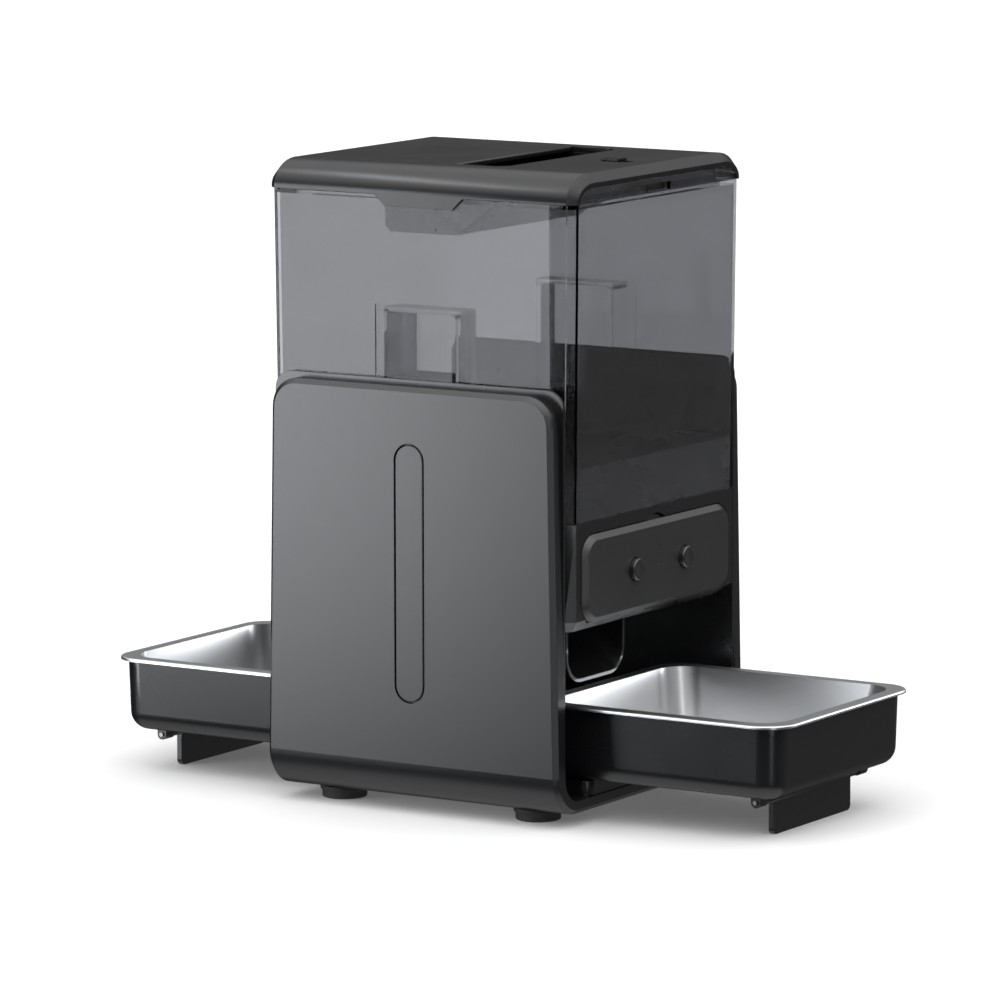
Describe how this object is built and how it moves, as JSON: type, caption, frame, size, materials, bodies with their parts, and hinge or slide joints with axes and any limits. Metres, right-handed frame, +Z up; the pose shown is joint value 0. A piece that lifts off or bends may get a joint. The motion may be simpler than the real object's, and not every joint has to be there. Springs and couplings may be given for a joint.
{
  "type": "automatic pet feeder",
  "caption": "Tall feeder with a smoky tank and lid in a U-shaped cradle, a dosing housing with push buttons, a two-way chute, and a steel bowl at each side.",
  "frame": {"origin": "middle of the footprint, on the surface the feeder stands on", "axes": "+X towards the bowl under the control panel, +Y towards the rear arm of the cradle, +Z up"},
  "size_m": [0.394, 0.1816, 0.3216],
  "materials": {
    "arm_grey": "satin moulded ABS",
    "black_plastic": "fine moulded texture",
    "lid_grey": "satin moulded ABS",
    "gloss_black": "glossy",
    "smoky_clear": "clear tinted",
    "steel": "brushed and polished",
    "screw_steel": "zinc plated",
    "rubber": "matte",
    "inner_plastic": "natural acetal and ABS",
    "board_green": "solder mask",
    "dark_parts": "moulded",
    "cell_sleeve": "shrink sleeve",
    "contact_metal": "nickel plated"
  },
  "bodies": {
    "cradle": {"cradle_shell": "arm_grey", "front_inlay": "arm_grey", "rear_inlay": "arm_grey", "front_liner": "black_plastic", "rear_liner": "black_plastic", "arm_screws": "screw_steel", "feet": "rubber", "foot_screws": "screw_steel", "housing_shell": "black_plastic", "housing_cover": "black_plastic", "cover_screws": "screw_steel", "control_panel": "black_plastic", "speaker": "dark_parts", "power_inlet": "dark_parts", "circuit_board": "board_green", "board_screws": "screw_steel", "tact_switches": "dark_parts", "microphone": "rubber", "status_light": "inner_plastic", "battery_box": "inner_plastic", "battery_cells": "cell_sleeve", "battery_contacts": "contact_metal", "dosing_drum": "inner_plastic", "shaft_bushes": "inner_plastic", "gearbox": "inner_plastic", "motor_can": "steel", "motor_bracket": "inner_plastic", "chute_splitter": "gloss_black", "holder_dock_right": "black_plastic", "holder_dock_left": "black_plastic"},
    "battery_door": {"battery_door": "black_plastic"},
    "rotor": {"rotor_shaft": "steel", "rotor_wheel": "inner_plastic", "vane_tips": "rubber", "drive_gear": "inner_plastic"},
    "pinion": {"motor_pinion": "inner_plastic", "motor_shaft": "steel"},
    "tank": {"tank_shell": "smoky_clear", "tank_funnel": "black_plastic"},
    "lid": {"lid_shell": "lid_grey", "handle_plate": "lid_grey", "handle_tub": "black_plastic", "lid_liner": "black_plastic", "lid_gasket": "rubber", "lid_screws": "screw_steel"},
    "latch": {"latch_slide": "black_plastic", "latch_knob": "black_plastic"},
    "record_button": {"record_button": "gloss_black"},
    "feed_button": {"feed_button": "gloss_black"},
    "holder_right": {"bowl_holder_right": "black_plastic", "leg_pin_right": "steel"},
    "holder_left": {"bowl_holder_left": "black_plastic", "leg_pin_left": "steel"},
    "bowl_right": {"bowl_right": "steel"},
    "bowl_left": {"bowl_left": "steel"},
    "leg_right": {"leg_right": "black_plastic"},
    "leg_left": {"leg_left": "black_plastic"}
  },
  "joints": [
    {"name": "tank_lift", "type": "slide", "parent": "cradle", "child": "tank", "axis": [0, 0, 1], "range_m": [0, 0.08]},
    {"name": "lid_lift", "type": "slide", "parent": "tank", "child": "lid", "axis": [0, 0, 1], "range_m": [0, 0.05]},
    {"name": "latch_shift", "type": "slide", "parent": "lid", "child": "latch", "axis": [1, 0, 0], "range_m": [0, 0.0026]},
    {"name": "battery_door_off", "type": "slide", "parent": "cradle", "child": "battery_door", "axis": [-1, 0, 0], "range_m": [0, 0.02]},
    {"name": "rotor_spin", "type": "hinge", "parent": "cradle", "child": "rotor", "pos_m": [0, 0, 0.122], "axis": [0, 1, 0], "continuous": true},
    {"name": "pinion_spin", "type": "hinge", "parent": "cradle", "child": "pinion", "pos_m": [0.024, 0.03, 0.122], "axis": [0, 1, 0], "continuous": true},
    {"name": "record_press", "type": "slide", "parent": "cradle", "child": "record_button", "axis": [-1, 0, 0], "range_m": [0, 0.0016], "stiffness_N_per_m": 700},
    {"name": "feed_press", "type": "slide", "parent": "cradle", "child": "feed_button", "axis": [-1, 0, 0], "range_m": [0, 0.0016], "stiffness_N_per_m": 700},
    {"name": "holder_right_pull", "type": "slide", "parent": "cradle", "child": "holder_right", "axis": [1, 0, 0], "range_m": [0, 0.04]},
    {"name": "holder_left_pull", "type": "slide", "parent": "cradle", "child": "holder_left", "axis": [-1, 0, 0], "range_m": [0, 0.04]},
    {"name": "bowl_right_lift", "type": "slide", "parent": "holder_right", "child": "bowl_right", "axis": [0, 0, 1], "range_m": [0, 0.034]},
    {"name": "bowl_left_lift", "type": "slide", "parent": "holder_left", "child": "bowl_left", "axis": [0, 0, 1], "range_m": [0, 0.034]},
    {"name": "leg_right_fold", "type": "hinge", "parent": "holder_right", "child": "leg_right", "pos_m": [0.175, 0, 0.0183], "axis": [0, 1, 0], "range_deg": [0, 90]},
    {"name": "leg_left_fold", "type": "hinge", "parent": "holder_left", "child": "leg_left", "pos_m": [-0.175, 0, 0.0183], "axis": [0, -1, 0], "range_deg": [0, 90]}
  ],
  "couplings": [
    {"joint": "pinion_spin", "follows": "rotor_spin", "ratio": -3}
  ]
}
